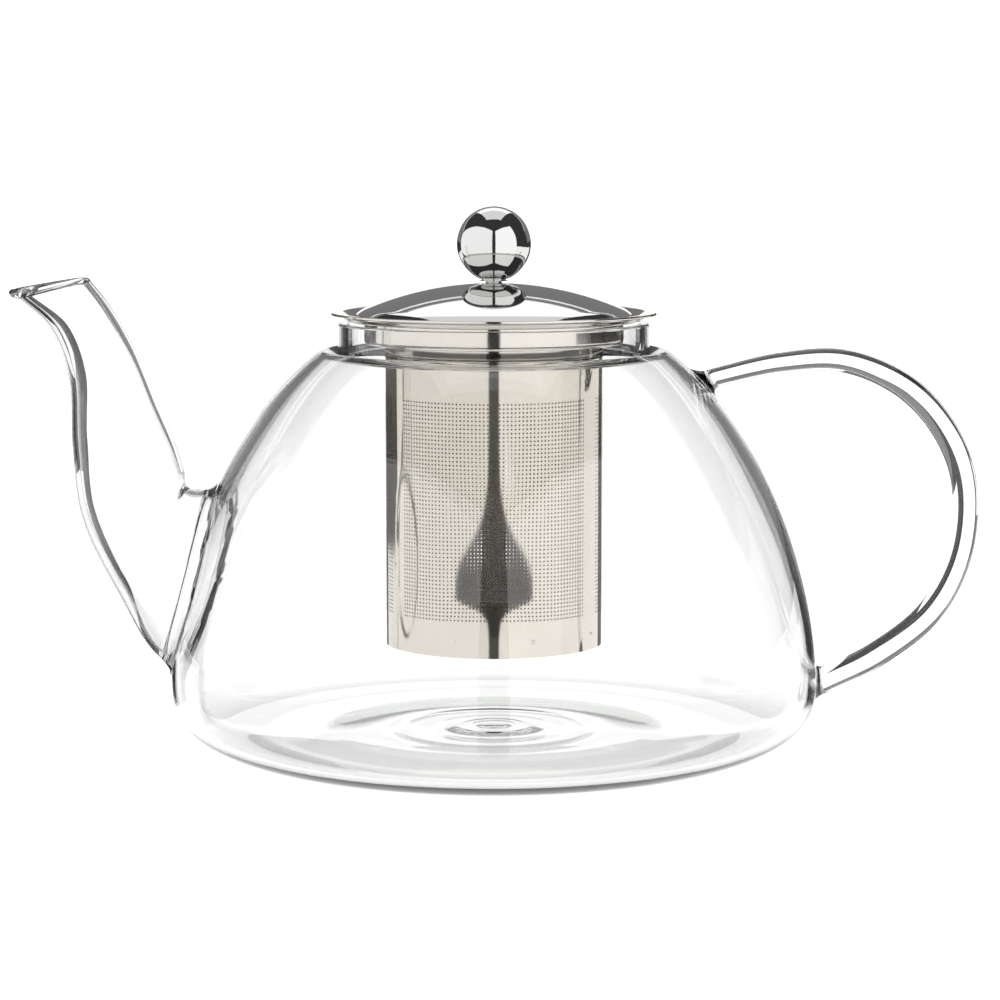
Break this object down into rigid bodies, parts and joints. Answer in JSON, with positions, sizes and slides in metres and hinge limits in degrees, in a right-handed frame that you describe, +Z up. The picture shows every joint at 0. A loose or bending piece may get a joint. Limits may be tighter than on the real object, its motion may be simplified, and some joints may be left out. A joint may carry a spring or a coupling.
{
  "type": "glass teapot",
  "caption": "Clear glass dome teapot with an upswept spout, a bent glass rod handle, a perforated steel infuser hung in its neck and a steel lid with a ball knob.",
  "frame": {"origin": "middle of the object's length and width, on the plane that the foot stands on; the vessel's axis is the Z axis", "axes": "+Z up along the vessel's axis, +X towards the handle, -X towards the spout, -Y towards the front"},
  "size_m": [0.2386, 0.161, 0.1331],
  "materials": {
    "vessel_glass": "clear polished",
    "spout_glass": "clear polished",
    "rod_glass": "clear polished",
    "collar_steel": "polished",
    "tube_steel": "satin, perforated",
    "disc_steel": "satin, perforated",
    "lid_steel": "mirror polished",
    "ring_steel": "satin",
    "knob_steel": "mirror polished",
    "screw_steel": "satin"
  },
  "bodies": {
    "vessel": {"glass_body": "vessel_glass", "spout": "spout_glass", "handle": "rod_glass"},
    "infuser": {"infuser_collar": "collar_steel", "infuser_tube": "tube_steel", "infuser_bottom": "disc_steel"},
    "lid": {"lid_dome": "lid_steel", "lid_ring": "ring_steel", "ball_knob": "knob_steel", "knob_screw": "screw_steel"}
  },
  "joints": [
    {"name": "infuser_lift", "type": "slide", "parent": "vessel", "child": "infuser", "axis": [0, 0, 1], "range_m": [0, 0.11]},
    {"name": "lid_lift", "type": "slide", "parent": "infuser", "child": "lid", "axis": [0, 0, 1], "range_m": [0, 0.06]}
  ]
}
